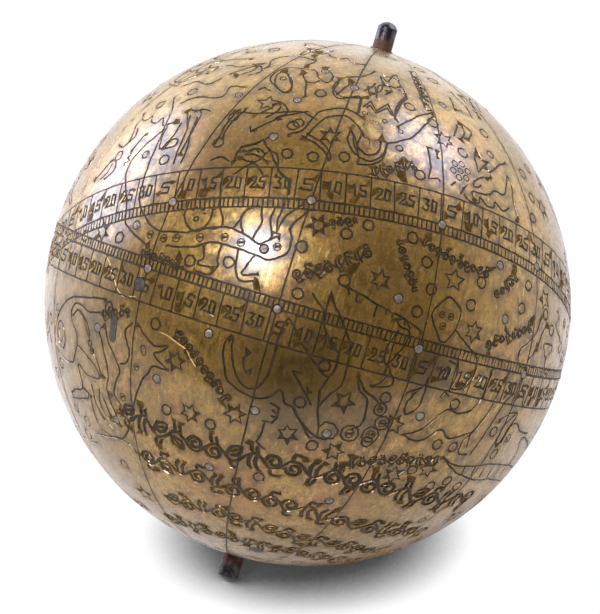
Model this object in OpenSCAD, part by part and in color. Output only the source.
// Celestial globe that spins on its own iron axle, so that it can hang in any horizon ring.
// The origin is the globe's centre, and +Z runs along the axle to the north celestial pole.
// Two hollow brass hemispheres meet on the celestial equator over a lap ring. A bronze bush
// sits in each pole and turns on the axle. Silver pegs let into the brass mark the stars.
// Longitudes are in degrees about +Z, from +X towards +Y. Latitudes are degrees from the equator.

/* [Globe] */
// Outer diameter of the globe
globe_d = 160; // [150:2:180]
// Thickness of the brass wall
wall = 2.2; // [2:0.1:3]
// Tilt of the sun's yearly circle (the ecliptic) against the equator, degrees
obliquity = 25.5; // [23:0.5:27]
// Half the height of the lap ring inside the joint of the hemispheres
lap_half_h = 5; // [4:0.5:8]
// Thickness of the lap ring
lap_t = 2; // [1.5:0.1:3]

/* [Axle] */
// Radius of the axle inside the bushes
journal_r = 3.5; // [3.4:0.1:4]
// Radius of the free end at the north pole
north_pin_r = 3.0; // [2.6:0.1:3.2]
// Radius of the free end at the south pole
south_pin_r = 3.25; // [2.8:0.05:3.3]
// How far each free end stands out of the globe
pin_reach = 9; // [7:0.5:14]
// Radius of the rounded tip at the north end
north_tip_r = 3.3; // [3.3:0.1:5]
// Radius of the rounded tip at the south end
south_tip_r = 4.2; // [3.6:0.1:6]
// Radial running clearance between the axle and each bush
running_gap = 0.05; // [0.02:0.01:0.1]

/* [Bushes and collars] */
// Outer radius of the bush in the pole hole
bush_r = 6; // [5.5:0.1:7]
// Radius of the bush's flange inside the globe
flange_r = 9; // [8:0.5:11]
// Thickness of that flange
flange_t = 2; // [1.5:0.1:3]
// Length of the bush's boss below the flange
boss_len = 6; // [4:0.5:10]
// Outer radius of the collars pinned to the axle
collar_r = 7; // [6:0.5:9]
// Length of each collar
collar_len = 5; // [4:0.5:8]
// Radius of the pin through each collar
collar_pin_r = 0.9; // [0.7:0.1:1.2]
// Thickness of the thrust washer on each collar
washer_t = 1.2; // [0.8:0.1:2]
// End play of the globe between the washers, at each end
end_play = 0.3; // [0.2:0.05:0.6]

/* [Pegs] */
// Radius of the silver pegs on the measuring circles and the bright stars
large_peg_r = 1.15; // [0.9:0.05:1.4]
// Radius of the pegs of the faint stars
small_peg_r = 0.95; // [0.7:0.05:1.1]
// Depth of the blind holes that the star pegs are tapped into
peg_depth = 1.6; // [1.2:0.1:1.7]
// Length of the equator's pegs below the surface, which key both hemispheres to the lap ring
dowel_depth = 3; // [2.8:0.1:3.4]
// How far the top of a peg is crowned above the brass
peg_crown = 0.15; // [0.1:0.01:0.25]
// Radial gap left around a peg
peg_gap = 0.05; // [0.04:0.01:0.08]

/* [Hidden] */

$fn = 96;
globe_r = globe_d / 2;
inner_r = globe_r - wall;
seat_z = inner_r;                      // the flat face inside each pole that the flange sits on
fit_gap = 0.05;                        // radial gap of pieces that are fixed in a hole
axle_half = globe_r + pin_reach;
neck_z = globe_r + 0.4;                // the journal ends just clear of the brass
bush_end_z = seat_z - flange_t - boss_len;
washer_z = bush_end_z - end_play - washer_t;
collar_z = washer_z - collar_len;
pin_cross_z = collar_z + collar_len / 2;
lap_r = inner_r + 0.5;                 // radius of the step that the lap ring sits in
lap_gap = 0.1;

// Longitude at which the sun's circle crosses the equator going north
equinox = 180;
equinox_points = [[equinox, 0], [equinox + 180, 0]];
// Degrees from each equinox to its hour circles, which were stepped off by hand a little unevenly
hand_steps = [32, 61, 90.5, 120.5, 151];
hours = [for (side = [0, 180], h = hand_steps) side + h];
equator_points = [for (h = hours) [equinox + h, 0]];
ecliptic_points = [for (h = hours) [equinox + h, atan(sin(h) * tan(obliquity))]];

// Stars as [longitude, latitude], set out by eye in loose groups
north_bright_stars = [
    [205.5, 7.5], [197.5, 22], [235, 10.5], [263.5, 8.5], [287, 20.5], [290, 10],
    [227, 34], [241, 54], [276, 57.5], [290, 46],
    [318, 12], [334, 38], [345, 17], [8, 29], [22, 9], [37, 44], [52, 20], [68, 61],
    [83, 8], [98, 35], [115, 14], [128, 52], [146, 24], [163, 40]];
north_faint_stars = [
    [210, 42], [227, 45], [228, 57], [258, 40], [322, 63], [352, 55], [15, 70], [44, 12],
    [76, 31], [104, 66], [139, 8], [155, 60], [171, 12]];
south_bright_stars = [
    [201, -15], [229, -8.5], [219, -21], [242, -21], [206, -34], [276, -13], [258, -21.5],
    [186, -36], [234, -37.5], [266, -37.5], [298, -38],
    [305, -14], [322, -33], [336, -9], [352, -44], [5, -19], [24, -37], [40, -12],
    [57, -51], [74, -24], [91, -41], [110, -10], [127, -34], [143, -55], [160, -18]];
south_faint_stars = [
    [182.5, -14.5], [312, -57], [345, -26], [14, -58], [50, -28], [83, -62], [101, -25],
    [118, -48], [150, -38], [170, -8]];

// Repairs let into the wall, as [longitude, latitude]
round_plug_at = [211, -3.5];
oval_patch_at = [206, -14];
south_plug_at = [256, -64];
round_plug_r = 1.9;
south_plug_r = 2.1;
oval_patch_w = 2.4;
oval_patch_l = 7.4;
repair_depth = 1.4;

// Puts something on the globe's surface, with its own +Z pointing outwards
module on_globe(place) {
    rotate([0, 90 - place[1], place[0]]) translate([0, 0, globe_r]) children();
}

// A blind hole from above the surface down to a depth
module blind_hole(r, depth) {
    translate([0, 0, -depth]) cylinder(r = r, h = depth + 2);
}

module peg_holes(places, r, depth = peg_depth) {
    for (place = places) on_globe(place) blind_hole(r + peg_gap, depth);
}

// One peg: a round wire with its end hammered to a low crown
module peg(r, depth) {
    crown_r = (r * r + peg_crown * peg_crown) / (2 * peg_crown);
    intersection() {
        translate([0, 0, -depth]) cylinder(r = r, h = depth + peg_crown);
        translate([0, 0, peg_crown - crown_r]) sphere(r = crown_r);
    }
}

module pegs(places, r, depth = peg_depth) {
    color("lightgray") for (place = places) on_globe(place) peg(r, depth);
}

// Outline of the long repair patch, with round ends
module oval_outline(grow) {
    half_run = (oval_patch_l - oval_patch_w) / 2;
    translate([-half_run, -oval_patch_w / 2 - grow])
        square([2 * half_run, oval_patch_w + 2 * grow]);
    for (side = [-1, 1]) translate([side * half_run, 0]) circle(r = oval_patch_w / 2 + grow);
}

module repair_holes() {
    on_globe(round_plug_at) blind_hole(round_plug_r + peg_gap, repair_depth);
    on_globe(south_plug_at) blind_hole(south_plug_r + peg_gap, repair_depth);
    on_globe(oval_patch_at) translate([0, 0, -repair_depth])
        linear_extrude(height = repair_depth + 2) oval_outline(peg_gap);
}

// A filling is dressed flush with the brass around it
module flush_fill() {
    color("dimgray") intersection() {
        sphere(r = globe_r, $fn = 360);
        children();
    }
}

module axle() {
    color("#3a3330") difference() {
        union() {
            translate([0, 0, -neck_z]) cylinder(r = journal_r, h = 2 * neck_z);
            axle_end(north_pin_r, north_tip_r);
            mirror([0, 0, 1]) axle_end(south_pin_r, south_tip_r);
        }
        for (side = [-1, 1]) collar_pin_hole(side, collar_pin_r + 0.02);
    }
}

// One free end, with its rounded tip
module axle_end(r, tip_r) {
    intersection() {
        translate([0, 0, neck_z - 1]) cylinder(r = r, h = axle_half - neck_z + 1);
        union() {
            translate([0, 0, axle_half - tip_r]) sphere(r = tip_r);
            translate([0, 0, neck_z - 2]) cylinder(r = tip_r, h = axle_half - tip_r - neck_z + 2);
        }
    }
}

module collar_pin_hole(side, r) {
    translate([-collar_r - 1, 0, side * pin_cross_z]) rotate([0, 90, 0])
        cylinder(r = r, h = 2 * collar_r + 2);
}

module collar(side) {
    color("dimgray") difference() {
        translate([0, 0, side > 0 ? collar_z : -collar_z - collar_len])
            cylinder(r = collar_r, h = collar_len);
        translate([0, 0, -globe_r]) cylinder(r = journal_r + 0.02, h = globe_d);
        collar_pin_hole(side, collar_pin_r + 0.02);
    }
}

module collar_pin(side) {
    color("silver") translate([-collar_r + 0.3, 0, side * pin_cross_z]) rotate([0, 90, 0])
        cylinder(r = collar_pin_r, h = 2 * collar_r - 0.6);
}

module washer(side) {
    color("peru") difference() {
        translate([0, 0, side > 0 ? washer_z : -washer_z - washer_t])
            cylinder(r = collar_r - 0.5, h = washer_t);
        translate([0, 0, -globe_r]) cylinder(r = journal_r + 0.1, h = globe_d);
    }
}

// The bush at the north pole; the south bush is its mirror image
module bush() {
    color("darkgoldenrod") difference() {
        intersection() {
            union() {
                translate([0, 0, bush_end_z]) cylinder(r = bush_r, h = boss_len);
                translate([0, 0, seat_z - flange_t]) cylinder(r = flange_r, h = flange_t);
                translate([0, 0, seat_z]) cylinder(r = bush_r - fit_gap, h = wall + 1);
            }
            sphere(r = globe_r);
        }
        cylinder(r = journal_r + running_gap, h = globe_r + 1);
    }
}

// A hollow hemisphere with its pole hole, its flange seat and the step for the lap ring
module hemisphere() {
    difference() {
        sphere(r = globe_r);
        sphere(r = inner_r);
        translate([0, 0, -globe_d]) cylinder(r = globe_d, h = globe_d);
        cylinder(r = bush_r, h = globe_r + 1);
        translate([0, 0, seat_z - 2]) cylinder(r = flange_r + 0.2, h = 2);
        translate([0, 0, -1]) cylinder(r = lap_r, h = lap_half_h + 1);
    }
}

module dowel_holes() {
    peg_holes(concat(equinox_points, equator_points), large_peg_r, dowel_depth);
}

module all_peg_holes() {
    dowel_holes();
    peg_holes(ecliptic_points, large_peg_r);
    peg_holes(concat(north_bright_stars, south_bright_stars), large_peg_r);
    peg_holes(concat(north_faint_stars, south_faint_stars), small_peg_r);
}

module north_shell() {
    color("#b08d4a") difference() {
        hemisphere();
        all_peg_holes();
        repair_holes();
    }
}

module south_shell() {
    color("#a88648") difference() {
        mirror([0, 0, 1]) hemisphere();
        all_peg_holes();
        repair_holes();
    }
}

module lap_ring() {
    color("goldenrod") difference() {
        translate([0, 0, -lap_half_h]) cylinder(r = lap_r - lap_gap, h = 2 * lap_half_h);
        translate([0, 0, -lap_half_h - 1]) cylinder(r = lap_r - lap_t, h = 2 * lap_half_h + 2);
        dowel_holes();
    }
}

axle();
collar(1);  // north_collar
collar(-1);  // south_collar
collar_pin(1);  // north_collar_pin
collar_pin(-1);  // south_collar_pin
washer(1);  // north_washer
washer(-1);  // south_washer
bush();  // north_bush
mirror([0, 0, 1]) bush();  // south_bush
north_shell();
south_shell();
lap_ring();
pegs(equinox_points, large_peg_r, dowel_depth);  // equinox_pegs
pegs(equator_points, large_peg_r, dowel_depth);  // equator_pegs
pegs(ecliptic_points, large_peg_r);  // ecliptic_pegs
pegs(north_bright_stars, large_peg_r);  // north_bright_star_pegs
pegs(north_faint_stars, small_peg_r);  // north_faint_star_pegs
pegs(south_bright_stars, large_peg_r);  // south_bright_star_pegs
pegs(south_faint_stars, small_peg_r);  // south_faint_star_pegs
flush_fill() on_globe(round_plug_at)  // round_repair_plug
    blind_hole(round_plug_r, repair_depth);
flush_fill() on_globe(oval_patch_at)  // oval_repair_patch
    translate([0, 0, -repair_depth]) linear_extrude(height = repair_depth + 2) oval_outline(0);
flush_fill() on_globe(south_plug_at)  // south_repair_plug
    blind_hole(south_plug_r, repair_depth);
